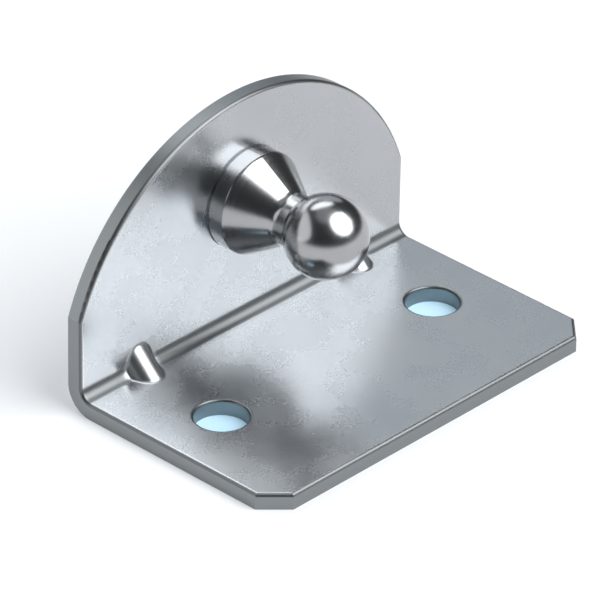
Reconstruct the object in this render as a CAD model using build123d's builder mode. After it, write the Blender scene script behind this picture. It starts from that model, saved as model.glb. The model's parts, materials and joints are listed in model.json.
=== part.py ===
"""Ball stud angle bracket for a gas spring.

One folded stainless steel bracket (foot, bend and D-shaped upright, with two
pressed gusset ribs in the bend) and one turned stainless ball stud, riveted
through the upright. Millimetres, +Z up. The origin lies midway between the two
fixing holes, on the underside of the foot. X runs along the bend, the upright
stands towards +Y and the ball points towards -Y.
"""
from build123d import *
import os
from math import sin, radians, sqrt, tan

# Bracket sheet.
sheet = 2.0                    # sheet thickness
width = 53.0                   # along the bend
foot_length = 32.4             # front edge to the back face of the upright
height = 30.8                  # underside of the foot to the top of the arch
side_height = 12.1             # straight side of the upright, from the underside
bend_inside_radius = 1.5
corner_cut = 3.0               # 45 degree cut on the two front corners
die_roll = 0.5                 # rounded edge that blanking leaves on the inner face

# Fixing holes in the foot.
hole_diameter = 6.4
hole_spacing = 35.0
hole_setback = 15.4            # hole centres to the back face of the upright
hole_roll = 0.3                # rounding of the upper rim

# Gusset ribs pressed into the bend.
rib_spacing = 34.5
rib_reach = 3.4                # how far a rib runs onto the foot and up the upright
rib_nose = 1.9                 # crest radius across the rib
rib_flank = 30.0               # slope of each flank from the rib's middle plane, degrees
rib_wall = 1.5                 # sheet left between the crest and the groove behind it
rib_blend = 0.5                # rounding where the rib runs out into the sheet

# Ball stud.
ball_diameter = 10.0
ball_height = 17.7             # ball centre above the underside of the foot
ball_standoff = 12.6           # ball centre from the inner face of the upright
neck_diameter = 6.4
neck_length = 1.6              # straight neck behind the ball
neck_fillet = 1.6              # radius where the cone runs into the neck
collar_diameter = 12.6
collar_length = 2.3            # straight collar against the upright
collar_round = 0.7
collar_relief = 0.25           # edge break where the collar meets the sheet
shank_diameter = 7.0
shank_clearance = 0.05         # all round, between the shank and its hole
tail_diameter = 10.6           # peened tail on the back face
tail_height = 1.3
tail_dimple_diameter = 4.0     # shallow centre left by the riveting tool
tail_dimple_depth = 0.3

# Places worked out from the sizes above.
back = hole_setback                           # back face of the upright
inner = back - sheet                          # inner face of the upright
front = back - foot_length                    # front edge of the foot
bend_outside_radius = bend_inside_radius + sheet
bend_line = back - bend_outside_radius        # where the foot runs into the bend
shank_hole_diameter = shank_diameter + 2 * shank_clearance

# Rib section, measured from the inside corner towards the open side of the bend.
crest = rib_reach / sqrt(2)
flank_sine = sin(radians(rib_flank))
flank_slope = tan(radians(rib_flank))
rib_apex = crest - rib_nose + rib_nose / flank_sine
groove_apex = rib_apex - rib_wall / flank_sine
groove_nose = rib_nose - rib_wall
section_base = -2 * sheet                     # both sections start behind the sheet
rib_half_width = (rib_apex - section_base) * flank_slope
groove_half_width = (groove_apex - section_base) * flank_slope
across_bend = Plane(origin=(0, 0, 0), x_dir=(1, 0, 0), z_dir=(0, -1, -1))
crest_line = Axis((0, 0, 0), (0, 1, 1))

# Stud: its seat on the inner face of the upright, and the plane of its profile,
# with the first coordinate along the stud and the second its radius.
stud_seat = Plane(origin=(0, inner, ball_height), z_dir=(0, -1, 0))
stud_profile_plane = Plane(origin=(0, inner, ball_height), x_dir=(0, -1, 0), z_dir=(-1, 0, 0))
neck_end = ball_standoff - sqrt((ball_diameter / 2) ** 2 - (neck_diameter / 2) ** 2)


# ---------------------------------------------------------------- rib tools
# Both are bars with a rounded V section, built about the inside corner of the
# bend. A bar lies across the corner at 45 degrees, so that its crest runs out
# into the foot at one end and into the upright at the other.
with BuildPart() as rib:
    with BuildSketch(across_bend) as rib_section:
        Polygon(
            (-rib_half_width, section_base),
            (rib_half_width, section_base),
            (0, rib_apex),
            align=None,
        )
        fillet(rib_section.vertices().sort_by(Axis.Y)[-1], rib_nose)
    extrude(amount=2 * rib_reach, both=True)
    # Only what stands on the open side of both plates is kept.
    Box(
        2 * rib_half_width,
        2 * rib_reach,
        2 * rib_reach,
        align=(Align.CENTER, Align.MAX, Align.MIN),
        mode=Mode.INTERSECT,
    )

with BuildPart() as groove:
    with BuildSketch(across_bend) as groove_section:
        Polygon(
            (-groove_half_width, section_base),
            (groove_half_width, section_base),
            (0, groove_apex),
            align=None,
        )
        fillet(groove_section.vertices().sort_by(Axis.Y)[-1], groove_nose)
    extrude(amount=2 * rib_reach, both=True)


# ---------------------------------------------------------------- bracket
with BuildPart() as bracket:
    # Foot: a plate with its two front corners cut off.
    with BuildSketch() as foot_outline:
        with Locations((0, front)):
            Rectangle(width, bend_line - front, align=(Align.CENTER, Align.MIN))
        chamfer(foot_outline.vertices().group_by(Axis.Y)[0], corner_cut)
    extrude(amount=sheet)

    # Bend: a quarter ring along the full width.
    with BuildSketch(Plane.YZ) as bend_section:
        with Locations((bend_line, bend_outside_radius)):
            Circle(bend_outside_radius)
            Circle(bend_inside_radius, mode=Mode.SUBTRACT)
            Rectangle(
                bend_outside_radius,
                bend_outside_radius,
                align=(Align.MIN, Align.MAX),
                mode=Mode.INTERSECT,
            )
    extrude(amount=width / 2, both=True)

    # Upright: straight sides under one wide arch.
    with BuildSketch(Plane.XZ.offset(-back)) as upright_outline:
        with BuildLine():
            left_side = Line((-width / 2, bend_outside_radius), (-width / 2, side_height))
            arch = ThreePointArc(left_side @ 1, (0, height), (width / 2, side_height))
            right_side = Line(arch @ 1, (width / 2, bend_outside_radius))
            Line(right_side @ 1, left_side @ 0)
        make_face()
    extrude(amount=sheet)

    # Die roll round the rim of the inner face, without the two lines of the bend.
    foot_top = bracket.faces().filter_by(Plane.XY).group_by(Axis.Z)[-1]
    upright_face = bracket.faces().filter_by(Plane.XZ).group_by(Axis.Y)[-2]
    bend_ends = bracket.edges().filter_by(GeomType.CIRCLE).filter_by(
        lambda edge: abs(edge.radius - bend_inside_radius) < 1e-6
    )
    foot_rim = foot_top.edges() - foot_top.edges().sort_by(Axis.Y)[-1:]
    upright_rim = upright_face.edges() - upright_face.edges().sort_by(Axis.Z)[:1]
    fillet(foot_rim + upright_rim + bend_ends, die_roll)

    # Gusset ribs: raised on the inside, grooved behind, and blended into the sheet.
    rib_places = [(-rib_spacing / 2, inner, sheet), (rib_spacing / 2, inner, sheet)]
    with Locations(*rib_places):
        add(rib.part)
    fillet(bracket.edges(Select.LAST).filter_by(crest_line, reverse=True), rib_blend)
    with Locations(*rib_places):
        add(groove.part, mode=Mode.SUBTRACT)
    fillet(bracket.edges(Select.LAST).filter_by(crest_line, reverse=True), rib_blend)

    # Fixing holes, rounded at the upper rim by the same punching.
    with Locations(Plane.XY.offset(sheet)):
        with GridLocations(hole_spacing, 0, 2, 1):
            Hole(hole_diameter / 2)
    fillet(bracket.edges(Select.LAST).group_by(Axis.Z)[-1], hole_roll)

    # Hole for the shank of the ball stud.
    with Locations(stud_seat):
        Hole(shank_hole_diameter / 2, depth=sheet)

bracket.part.label = "bracket"


# ---------------------------------------------------------------- ball stud
# Turned about its own axis: the profile runs from the peened tail to the ball.
with BuildPart() as ball_stud:
    with BuildSketch(stud_profile_plane):
        with BuildLine():
            dimple = TangentArc(
                (tail_dimple_depth - sheet - tail_height, 0),
                (-sheet - tail_height, tail_dimple_diameter / 2),
                tangent=(0, 1),
            )
            dome = TangentArc(dimple @ 1, (-sheet, tail_diameter / 2), tangent=(0, 1))
            collar_foot = Polyline(
                dome @ 1,
                (-sheet, shank_diameter / 2),
                (0, shank_diameter / 2),
                (0, collar_diameter / 2 - collar_relief),
                (collar_relief, collar_diameter / 2),
            )
            cone = FilletPolyline(
                collar_foot @ 1,
                (collar_length, collar_diameter / 2),
                (neck_end - neck_length, neck_diameter / 2),
                (neck_end, neck_diameter / 2),
                radius=[collar_round, neck_fillet],
            )
            ball = ThreePointArc(
                cone @ 1,
                (ball_standoff, ball_diameter / 2),
                (ball_standoff + ball_diameter / 2, 0),
            )
            Line(ball @ 1, dimple @ 0)
        make_face()
    revolve(axis=Axis(stud_seat.origin, (0, -1, 0)))

ball_stud.part.label = "ball_stud"


os.makedirs("parts", exist_ok=True)
export_step(bracket.part, "parts/bracket.step")
export_step(ball_stud.part, "parts/ball_stud.step")
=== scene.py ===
"""Ball stud angle bracket: a pressed stainless bracket with a turned ball stud riveted to it.

Everything is in metres in the row frame: the origin lies midway between the two foot holes on
the underside, +X runs along the bend, +Y points to the upright's back and +Z is up.
"""

import json
import logging
import math
from dataclasses import dataclass, field
from enum import Enum
from typing import Any

import bmesh
import bpy
from mathutils import Matrix, Vector

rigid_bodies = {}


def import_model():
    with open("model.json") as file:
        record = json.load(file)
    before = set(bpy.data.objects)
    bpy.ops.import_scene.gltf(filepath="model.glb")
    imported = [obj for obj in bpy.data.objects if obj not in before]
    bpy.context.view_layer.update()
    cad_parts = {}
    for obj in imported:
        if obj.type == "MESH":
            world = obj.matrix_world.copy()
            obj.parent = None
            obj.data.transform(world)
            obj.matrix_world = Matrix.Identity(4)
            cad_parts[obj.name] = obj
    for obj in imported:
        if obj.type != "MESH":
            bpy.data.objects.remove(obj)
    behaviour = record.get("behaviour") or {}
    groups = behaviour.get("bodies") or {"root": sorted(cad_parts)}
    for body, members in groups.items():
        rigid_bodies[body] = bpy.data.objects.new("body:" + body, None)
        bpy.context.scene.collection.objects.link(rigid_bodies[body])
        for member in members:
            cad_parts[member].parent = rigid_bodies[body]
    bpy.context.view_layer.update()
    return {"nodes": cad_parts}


LOG = logging.getLogger("ball_stud_bracket")
MM = 0.001
# A noise node's values lie mostly between these two.
NOISE_LOW = 0.3
NOISE_HIGH = 0.7


def linear(hex_colour: str) -> tuple[float, float, float, float]:
    """Turns an sRGB hex colour into a linear one.

    Args:
        hex_colour: The colour as "#RRGGBB".

    Returns:
        Linear red, green, blue and an alpha of 1.
    """
    channels = [int(hex_colour[i:i + 2], 16) / 255.0 for i in (1, 3, 5)]
    curve = [c / 12.92 if c <= 0.04045 else ((c + 0.055) / 1.055) ** 2.4 for c in channels]
    return (curve[0], curve[1], curve[2], 1.0)


def add_node(tree: bpy.types.NodeTree, kind: str, links: dict[Any, Any] | None = None,
             **settings: Any) -> bpy.types.Node:
    """Adds a node, sets its properties and sockets, and links its inputs.

    Args:
        tree: The node tree that gets the node.
        kind: The node's type, without "ShaderNode" where it starts with that.
        links: Input name or index to an output socket to link, or to a plain value to set.
        settings: Properties of the node itself, such as operation or blend_type.

    Returns:
        The new node.
    """
    node = tree.nodes.new(kind if kind.startswith("Node") else "ShaderNode" + kind)
    for name, value in settings.items():
        setattr(node, name, value)
    for socket, value in (links or {}).items():
        if isinstance(value, bpy.types.NodeSocket):
            tree.links.new(value, node.inputs[socket])
        else:
            node.inputs[socket].default_value = value
    return node


def new_material(name: str) -> tuple[bpy.types.Material, bpy.types.NodeTree]:
    """Makes an empty node material.

    Args:
        name: The material's name.

    Returns:
        The material and its cleared node tree.
    """
    material = bpy.data.materials.new(name)
    material.use_nodes = True
    material.node_tree.nodes.clear()
    return material, material.node_tree


class Grain(Enum):
    """How a surface was worked, which sets the direction of its marks."""

    TUMBLED = "tumbled"
    TURNED = "turned"


def marks(tree: bpy.types.NodeTree, place: bpy.types.NodeSocket, grain: Grain,
          pitch: float) -> bpy.types.NodeSocket:
    """Adds the noise that stands for the fine marks of a tool.

    Args:
        tree: The node tree that gets it.
        place: The point in object coordinates.
        grain: How the surface was worked.
        pitch: The size of one mark, in metres.

    Returns:
        The noise, from 0 to 1.
    """
    if grain is Grain.TURNED:
        along = add_node(tree, "SeparateXYZ", {"Vector": place}).outputs["Y"]
        return add_node(tree, "TexNoise", {"W": along, "Scale": 1 / pitch, "Detail": 3.0,
                                           "Roughness": 0.7}, noise_dimensions="1D").outputs["Fac"]
    return add_node(tree, "TexNoise", {"Vector": place, "Scale": 1 / pitch, "Detail": 2.0,
                                       "Roughness": 0.5}).outputs["Fac"]


def spread(tree: bpy.types.NodeTree, value: bpy.types.NodeSocket, low: float, high: float,
           start: float, end: float) -> bpy.types.NodeSocket:
    """Adds a clamped change of range that eases in and out.

    Args:
        tree: The node tree that gets it.
        value: The value to change.
        low: The value that gives the start.
        high: The value that gives the end.
        start: The result at low.
        end: The result at high.

    Returns:
        The new value.
    """
    return add_node(tree, "MapRange", {"Value": value, "From Min": low, "From Max": high,
                                       "To Min": start, "To Max": end},
                    interpolation_type="SMOOTHSTEP").outputs["Result"]


def blend(tree: bpy.types.NodeTree, share: bpy.types.NodeSocket, first: Any,
          second: Any) -> bpy.types.NodeSocket:
    """Adds a mix of two colours.

    Args:
        tree: The node tree that gets it.
        share: How much of the second colour there is.
        first: The first colour, or the output that gives it.
        second: The second colour, or the output that gives it.

    Returns:
        The mixed colour.
    """
    return add_node(tree, "Mix", {0: share, 6: first, 7: second}, data_type="RGBA").outputs[2]


@dataclass(frozen=True)
class TumbledStainlessSheet:
    """Cold-rolled stainless sheet, pressed and then tumbled to take the burrs off.

    The rolls leave a smooth grey face and the stones a fine even haze on it, so the eye sees
    soft cloudy reflections and duller sheared edges. The rounded rim round the outline and the
    holes is rougher and carries painted shade, a dark line that stands in for its dark
    reflection. The bend is drawn rougher than it would be and darker with painted shade,
    because its wide inside radius catches too much light.
    """

    colour: str = "#BEC1C4"
    shade: str = "#B4B7BA"
    edge_colour: str = "#8E9396"
    painted_rim_shade: str = "#6E7173"
    painted_bend_shade: str = "#7A7D7F"
    roughness: float = 0.27
    edge_roughness: float = 0.38
    bend_roughness: float = 0.40
    rib_roughness: float = 0.33
    cloud_swing: float = 0.03
    haze_swing: float = 0.012
    cloud_size: float = 6.0 * MM
    haze_size: float = 0.35 * MM
    sheared_depth: float = 0.06 * MM
    rim_width: float = 0.45 * MM
    rim_line: float = 0.10 * MM

    def build(self, outline: "SheetOutline") -> bpy.types.Material:
        """Builds the material.

        Args:
            outline: The sheet's outline, from which the edges and the bend are found.

        Returns:
            The finished material.
        """
        material, tree = new_material("tumbled_stainless_sheet")
        place = add_node(tree, "TexCoord").outputs["Object"]
        edge = outline.distance(tree, place)
        in_bend, on_rib = outline.pressed(tree, place)
        # Clouds of 6 mm: where the stones rubbed a little more or less.
        clouds = marks(tree, place, Grain.TUMBLED, self.cloud_size)
        # Haze of 0.35 mm: the stones' marks, drawn about five times coarser so that they show.
        haze = marks(tree, place, Grain.TUMBLED, self.haze_size)
        # The sheared edge, and the rounded rim that runs into it, which is rougher and carries
        # painted shade.
        on_edge = spread(tree, edge, self.sheared_depth, 0.0, 0.0, 1.0)
        on_rim = spread(tree, edge, self.rim_width, self.rim_line, 0.0, 1.0)
        face = blend(tree, clouds, linear(self.shade), linear(self.colour))
        # Painted shade on the bend, which dims the light its wide inside radius catches.
        face = blend(tree, in_bend, face, linear(self.painted_bend_shade))
        # Painted shade: a dark line on the rounded rim, standing in for the dark reflection along
        # it.
        face = blend(tree, on_rim, face, linear(self.painted_rim_shade))
        colour = blend(tree, on_edge, face, linear(self.edge_colour))
        rough = spread(tree, clouds, NOISE_LOW, NOISE_HIGH, self.roughness - self.cloud_swing,
                       self.roughness + self.cloud_swing)
        fine = spread(tree, haze, NOISE_LOW, NOISE_HIGH, -self.haze_swing, self.haze_swing)
        rough = add_node(tree, "Math", {0: rough, 1: fine}, operation="ADD").outputs[0]
        for share, value in ((in_bend, self.bend_roughness), (on_rib, self.rib_roughness),
                             (on_rim, self.edge_roughness)):
            rough = add_node(tree, "Mix", {0: share, 2: rough, 3: value}).outputs[0]
        shader = add_node(tree, "BsdfPrincipled", {"Base Color": colour, "Metallic": 1.0,
                                                   "Roughness": rough})
        add_node(tree, "OutputMaterial", {"Surface": shader.outputs["BSDF"]})
        return material


@dataclass(frozen=True)
class TurnedStainlessBar:
    """Free-cutting stainless bar, turned to shape and then polished.

    The tool leaves hair-fine rings round the axis and the polish rounds them over, so the eye
    sees clear dark-and-light reflections that are drawn out a little across the rings.
    """

    colour: str = "#B3B5B7"
    shade: str = "#A8AAAC"
    roughness: float = 0.21
    ring_swing: float = 0.02
    ring_size: float = 0.3 * MM
    ring_depth: float = 0.02 * MM
    ring_strength: float = 0.05
    cloud_size: float = 3.0 * MM

    def build(self) -> bpy.types.Material:
        """Builds the material.

        Returns:
            The finished material.
        """
        material, tree = new_material("turned_stainless_bar")
        place = add_node(tree, "TexCoord").outputs["Object"]
        # Rings of 0.3 mm: the tool's feed marks, drawn about three times coarser.
        rings = marks(tree, place, Grain.TURNED, self.ring_size)
        clouds = marks(tree, place, Grain.TUMBLED, self.cloud_size)
        colour = blend(tree, clouds, linear(self.shade), linear(self.colour))
        rough = spread(tree, rings, NOISE_LOW, NOISE_HIGH, self.roughness - self.ring_swing,
                       self.roughness + self.ring_swing)
        bump = add_node(tree, "Bump", {"Height": rings, "Strength": self.ring_strength,
                                       "Distance": self.ring_depth})
        shader = add_node(tree, "BsdfPrincipled", {"Base Color": colour, "Metallic": 1.0,
                                                   "Roughness": rough,
                                                   "Normal": bump.outputs["Normal"]})
        add_node(tree, "OutputMaterial", {"Surface": shader.outputs["BSDF"]})
        return material


@dataclass(frozen=True)
class SheetOutline:
    """The bracket's outline, holes, bend and ribs, which say where a point lies on the sheet."""

    half_width: float = 26.5 * MM
    front: float = -17.0 * MM
    corner_cut: float = 3.0 * MM
    arch_radius: float = 28.127 * MM
    arch_centre: float = 2.673 * MM
    sheet: float = 2.0 * MM
    inner: float = 13.4 * MM
    bend_reach: float = 1.3 * MM
    rib_offset: float = 17.25 * MM
    rib_half_width: float = 2.6 * MM
    rib_reach: float = 3.4 * MM
    rib_fade: float = 0.5 * MM
    hole_offset: float = 17.5 * MM
    hole_radius: float = 3.2 * MM
    foot_fade: float = 1.0 * MM
    bend_fade: float = 0.2 * MM

    def distance(self, tree: bpy.types.NodeTree,
                 place: bpy.types.NodeSocket) -> bpy.types.NodeSocket:
        """Adds the nodes that measure the distance to the nearest outer edge or hole.

        Args:
            tree: The node tree that gets them.
            place: The point in object coordinates.

        Returns:
            The distance in metres, 0 on an edge face or a hole's wall.
        """
        x, y, z = add_node(tree, "SeparateXYZ", {"Vector": place}).outputs
        across = add_node(tree, "Math", {0: x}, operation="ABSOLUTE").outputs[0]
        side = add_node(tree, "Math", {0: self.half_width, 1: across}, operation="SUBTRACT")
        ahead = add_node(tree, "Math", {0: y, 1: self.front}, operation="SUBTRACT")
        both = add_node(tree, "Math", {0: side.outputs[0], 1: ahead.outputs[0]}, operation="ADD")
        cut = add_node(tree, "Math", {0: both.outputs[0], 1: self.corner_cut},
                       operation="SUBTRACT")
        slant = add_node(tree, "Math", {0: cut.outputs[0], 1: math.sqrt(0.5)},
                         operation="MULTIPLY")
        up = add_node(tree, "Math", {0: z, 1: self.arch_centre}, operation="SUBTRACT")
        flat = add_node(tree, "CombineXYZ", {"X": x, "Z": up.outputs[0]})
        reach = add_node(tree, "VectorMath", {0: flat.outputs[0]}, operation="LENGTH")
        arch = add_node(tree, "Math", {0: self.arch_radius, 1: reach.outputs["Value"]},
                        operation="SUBTRACT")
        aside = add_node(tree, "Math", {0: across, 1: self.hole_offset}, operation="SUBTRACT")
        flat = add_node(tree, "CombineXYZ", {"X": aside.outputs[0], "Y": y})
        reach = add_node(tree, "VectorMath", {0: flat.outputs[0]}, operation="LENGTH")
        hole = add_node(tree, "Math", {0: reach.outputs["Value"], 1: self.hole_radius},
                        operation="SUBTRACT")
        # The upright has no such holes, so above the foot they are made to lie far away.
        lifted = spread(tree, z, self.sheet, self.sheet + self.foot_fade, 0.0, self.half_width)
        hole = add_node(tree, "Math", {0: hole.outputs[0], 1: lifted}, operation="ADD")
        nearest = side.outputs[0]
        for other in (ahead, slant, arch, hole):
            nearest = add_node(tree, "Math", {0: nearest, 1: other.outputs[0]},
                               operation="MINIMUM").outputs[0]
        return nearest

    def pressed(self, tree: bpy.types.NodeTree, place: bpy.types.NodeSocket
                ) -> tuple[bpy.types.NodeSocket, bpy.types.NodeSocket]:
        """Adds the nodes that find the bend and the ribs, where the punch drew the sheet. The
        bend's share also places painted shade.

        Args:
            tree: The node tree that gets them.
            place: The point in object coordinates.

        Returns:
            The shares of the bend and of the ribs, 1 where the surface belongs to them.
        """
        x, y, z = add_node(tree, "SeparateXYZ", {"Vector": place}).outputs
        across = add_node(tree, "Math", {0: x}, operation="ABSOLUTE").outputs[0]
        aside = add_node(tree, "Math", {0: across, 1: self.rib_offset}, operation="SUBTRACT")
        aside = add_node(tree, "Math", {0: aside.outputs[0]}, operation="ABSOLUTE").outputs[0]
        up = add_node(tree, "Math", {0: z, 1: self.sheet}, operation="SUBTRACT").outputs[0]
        out = add_node(tree, "Math", {0: self.inner, 1: y}, operation="SUBTRACT").outputs[0]
        away = add_node(tree, "Math", {0: up, 1: out}, operation="MAXIMUM").outputs[0]
        shares = []
        for reach, start, end in ((self.bend_reach, 0.0, 1.0), (self.rib_reach, 1.0, 0.0)):
            beside = spread(tree, aside, self.rib_half_width - self.rib_fade,
                            self.rib_half_width + self.rib_fade, start, end)
            near = spread(tree, away, reach + self.bend_fade, reach - self.bend_fade, 0.0, 1.0)
            shares.append(add_node(tree, "Math", {0: beside, 1: near},
                                   operation="MULTIPLY").outputs[0])
        return shares[0], shares[1]


@dataclass
class Bracket:
    """The bent sheet: the foot with its two holes, the arched upright and the pressed ribs."""

    node: str = "bracket"
    outline: SheetOutline = field(default_factory=SheetOutline)
    finish: TumbledStainlessSheet = field(default_factory=TumbledStainlessSheet)

    def dress(self, nodes: dict[str, bpy.types.Object]) -> bpy.types.Object:
        """Gives the sheet its finish.

        Args:
            nodes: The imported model's objects by name.

        Returns:
            The bracket's object.
        """
        sheet = nodes[self.node]
        material = self.finish.build(self.outline)
        for slot in sheet.material_slots:
            slot.material = material
        return sheet


@dataclass
class BallStud:
    """The turned stud: ball, neck, cone and collar in front, the riveted tail behind."""

    node: str = "ball_stud"
    finish: TurnedStainlessBar = field(default_factory=TurnedStainlessBar)

    def dress(self, nodes: dict[str, bpy.types.Object]) -> bpy.types.Object:
        """Gives the stud its finish.

        Args:
            nodes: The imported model's objects by name.

        Returns:
            The stud's object.
        """
        stud = nodes[self.node]
        material = self.finish.build()
        for slot in stud.material_slots:
            slot.material = material
        return stud


@dataclass(frozen=True)
class Softbox:
    """A soft lamp that hangs on a sphere round the bracket and faces it.

    The angles are where it hangs and how wide and tall it looks from the bracket, in degrees,
    and the glow is the brightness of its face, where 1 is white.
    """

    name: str
    azimuth: float
    elevation: float
    width: float
    height: float
    glow: float
    distance: float = 1.2
    colour: str = "#FFFFFF"

    def hang(self) -> bpy.types.Object:
        """Hangs the lamp.

        Returns:
            The lamp's object.
        """
        lamp = bpy.data.lights.new(self.name, "AREA")
        lamp.shape = "ELLIPSE"
        lamp.size = 2.0 * self.distance * math.tan(math.radians(self.width / 2.0))
        lamp.size_y = 2.0 * self.distance * math.tan(math.radians(self.height / 2.0))
        lamp.energy = self.glow * math.pi * lamp.size * lamp.size_y
        lamp.color = linear(self.colour)[:3]
        turn, lift = math.radians(self.azimuth), math.radians(self.elevation)
        way = Vector((math.sin(turn) * math.cos(lift), -math.cos(turn) * math.cos(lift),
                      math.sin(lift)))
        holder = bpy.data.objects.new(self.name, lamp)
        holder.location = way * self.distance
        holder.rotation_euler = way.to_track_quat("Z", "Y").to_euler()
        bpy.context.scene.collection.objects.link(holder)
        return holder


@dataclass
class Studio:
    """A plain pale floor in a dim room, lit by soft lamps.

    The floor has a faint glow of its own, which keeps it white, and a blue patch under the foot
    that tints what the two holes show. From behind, a strip of it shows below the bend.
    """

    floor_half: float = 3.0
    floor_level: float = 0.0
    floor_colour: str = "#CFCFD0"
    glow_colour: str = "#E6ECF2"
    mirror_colour: str = "#E9E8EA"
    glow: float = 0.42
    mirror_share: float = 0.75
    under_colour: str = "#B2D3E5"
    under_half: tuple[float, float] = (26.0 * MM, 15.0 * MM)
    under_fade: float = 0.5 * MM
    room_colour: str = "#3A3D3F"
    wall_colour: str = "#C4C6C8"
    wall_top: float = 2.0
    wall_end: float = 5.0
    ceiling_colour: str = "#A0A2A4"
    ceiling_start: float = 60.0
    ceiling_full: float = 74.0
    lamps: tuple[Softbox, ...] = (
        Softbox("key", 24.0, 49.0, 57.0, 57.0, 3.6),
        Softbox("left_card", -138.0, 24.0, 84.0, 54.0, 0.84),
        Softbox("back_card", 133.0, 29.0, 40.0, 28.0, 0.52, colour="#F0F8FF"),
        Softbox("rim_card", 150.0, 56.0, 40.0, 20.0, 2.0),
    )

    def floor_material(self) -> bpy.types.Material:
        """Builds the floor's material: a matt card with a faint glow.

        Returns:
            The finished material.
        """
        material, tree = new_material("pale_card")
        path = add_node(tree, "LightPath").outputs
        seen = path["Is Camera Ray"]
        for other in ("Is Glossy Ray", "Is Transmission Ray"):
            seen = add_node(tree, "Math", {0: seen, 1: path[other]},
                            operation="MAXIMUM").outputs[0]
        strength = spread(tree, path["Is Camera Ray"], 0.0, 1.0, self.glow * self.mirror_share,
                          self.glow)
        strength = add_node(tree, "Math", {0: seen, 1: strength}, operation="MULTIPLY")
        place = add_node(tree, "TexCoord").outputs["Object"]
        x, y, _ = add_node(tree, "SeparateXYZ", {"Vector": place}).outputs
        inside = [spread(tree, add_node(tree, "Math", {0: value}, operation="ABSOLUTE").outputs[0],
                         half, half - self.under_fade, 0.0, 1.0)
                  for value, half in zip((x, y), self.under_half)]
        under = add_node(tree, "Math", dict(enumerate(inside)), operation="MULTIPLY").outputs[0]
        shown = blend(tree, path["Is Camera Ray"], linear(self.mirror_colour),
                      linear(self.glow_colour))
        shown = blend(tree, under, shown, linear(self.under_colour))
        cover = blend(tree, under, linear(self.floor_colour), linear(self.under_colour))
        glow = add_node(tree, "Emission", {"Color": shown, "Strength": strength.outputs[0]})
        card = add_node(tree, "BsdfDiffuse", {"Color": cover})
        both = add_node(tree, "AddShader", {0: glow.outputs[0], 1: card.outputs[0]})
        add_node(tree, "OutputMaterial", {"Surface": both.outputs[0]})
        return material

    def floor(self) -> bpy.types.Object:
        """Builds the floor, which keeps the bracket's shadow.

        Returns:
            The floor's object.
        """
        mesh = bpy.data.meshes.new("floor")
        shape = bmesh.new()
        bmesh.ops.create_grid(shape, x_segments=1, y_segments=1, size=self.floor_half)
        bmesh.ops.translate(shape, verts=shape.verts, vec=(0.0, 0.0, self.floor_level))
        shape.to_mesh(mesh)
        shape.free()
        floor = bpy.data.objects.new("floor", mesh)
        bpy.context.scene.collection.objects.link(floor)
        mesh.materials.append(self.floor_material())
        return floor

    def room(self) -> bpy.types.World:
        """Sets up the dim room, with a low pale wall round the floor and a grey ceiling.

        Returns:
            The world.
        """
        world = bpy.data.worlds.new("room")
        bpy.context.scene.world = world
        world.use_nodes = True
        tree = world.node_tree
        tree.nodes.clear()
        way = add_node(tree, "TexCoord").outputs["Generated"]
        lift = add_node(tree, "SeparateXYZ", {"Vector": way}).outputs["Z"]
        wall_top, wall_end, ceiling_start, ceiling_full = (
            math.sin(math.radians(angle))
            for angle in (self.wall_top, self.wall_end, self.ceiling_start, self.ceiling_full))
        above = spread(tree, lift, wall_top, wall_end, 0.0, 1.0)
        colour = blend(tree, above, linear(self.wall_colour), linear(self.room_colour))
        overhead = spread(tree, lift, ceiling_start, ceiling_full, 0.0, 1.0)
        colour = blend(tree, overhead, colour, linear(self.ceiling_colour))
        shell = add_node(tree, "Background", {"Color": colour, "Strength": 1.0})
        add_node(tree, "OutputWorld", {"Surface": shell.outputs[0]})
        return world


@dataclass
class ViewCamera:
    """The long-lens camera, a little above the bracket and to its front left."""

    azimuth: float = -46.89
    elevation: float = 31.34
    roll: float = 1.09
    lens: float = 379.2
    distance: float = 0.7313
    target: tuple[float, float, float] = (6.40 * MM, 10.63 * MM, 2.32 * MM)
    sensor: float = 36.0
    clip_start: float = 0.01

    def place(self) -> bpy.types.Object:
        """Sets up the camera and makes it the scene's own.

        Returns:
            The camera's object.
        """
        turn, lift, tilt = (math.radians(a) for a in (self.azimuth, self.elevation, self.roll))
        back = Vector((math.sin(turn) * math.cos(lift), -math.cos(turn) * math.cos(lift),
                       math.sin(lift)))
        level = Vector((math.cos(turn), math.sin(turn), 0.0))
        upright = back.cross(level)
        right = level * math.cos(tilt) + upright * math.sin(tilt)
        up = upright * math.cos(tilt) - level * math.sin(tilt)
        spot = Vector(self.target) + back * self.distance
        camera = bpy.data.objects.new("camera", bpy.data.cameras.new("camera"))
        camera.data.lens = self.lens
        camera.data.sensor_width = self.sensor
        camera.data.clip_start = self.clip_start
        camera.matrix_world = Matrix.Translation(spot) @ Matrix(
            (right, up, back)).transposed().to_4x4()
        bpy.context.scene.collection.objects.link(camera)
        bpy.context.scene.camera = camera
        return camera


def clear_scene() -> None:
    """Removes whatever objects the new file came with."""
    for thing in list(bpy.data.objects):
        bpy.data.objects.remove(thing)


def main() -> None:
    """Builds the dressed bracket, its studio and its camera."""
    logging.basicConfig(level=logging.INFO, format="%(name)s: %(message)s")
    clear_scene()
    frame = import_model()
    scene = bpy.context.scene
    scene.view_settings.view_transform = "Standard"
    studio = Studio()
    for piece in (ViewCamera().place(), Bracket().dress(frame["nodes"]),
                  BallStud().dress(frame["nodes"]), studio.floor(), studio.room(),
                  *(lamp.hang() for lamp in studio.lamps)):
        LOG.info("built %s", piece.name)


if __name__ == "__main__":
    main()
